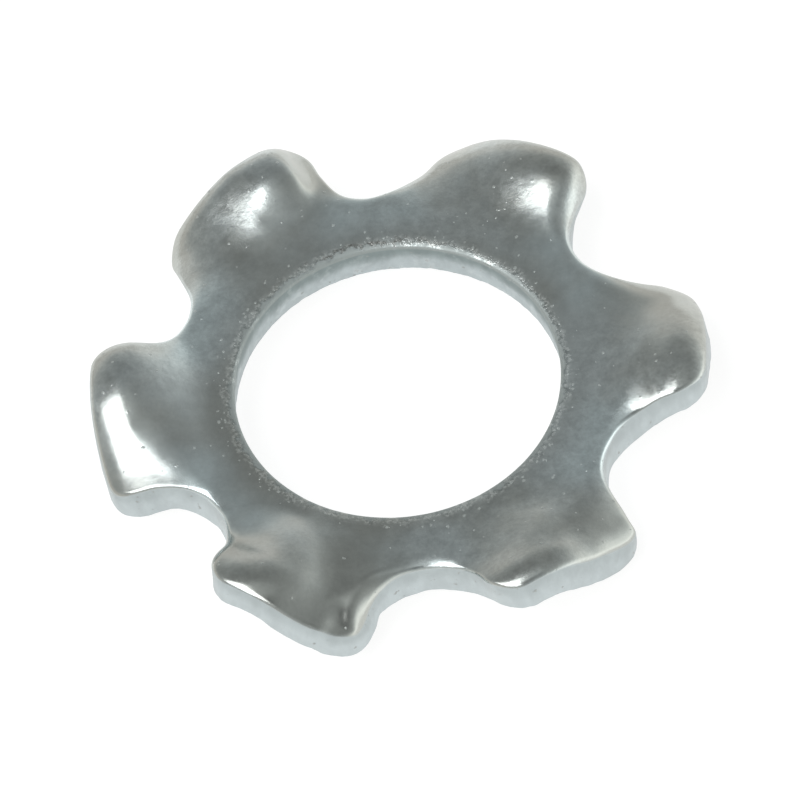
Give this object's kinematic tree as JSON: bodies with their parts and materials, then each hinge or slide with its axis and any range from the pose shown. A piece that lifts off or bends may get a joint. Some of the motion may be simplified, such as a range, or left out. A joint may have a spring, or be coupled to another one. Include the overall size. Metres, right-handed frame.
{
  "type": "toothed lock washer",
  "caption": "Flat steel ring with twisted outer teeth and a plain centre bore, clamped under a screw head to keep it from working loose.",
  "frame": {"origin": "centre of the bore, halfway through the strip of the flat ring", "axes": "+Z along the screw, towards the side with the dragged edges; +X through the middle of one tooth"},
  "size_m": [0.0061, 0.0059, 0.001],
  "materials": {
    "zinc_plate": "bright zinc plate over punched spring steel: smooth on the faces, matt and pale on the sheared edges"
  },
  "bodies": {
    "root": {"lock_washer": "zinc_plate"}
  },
  "joints": []
}
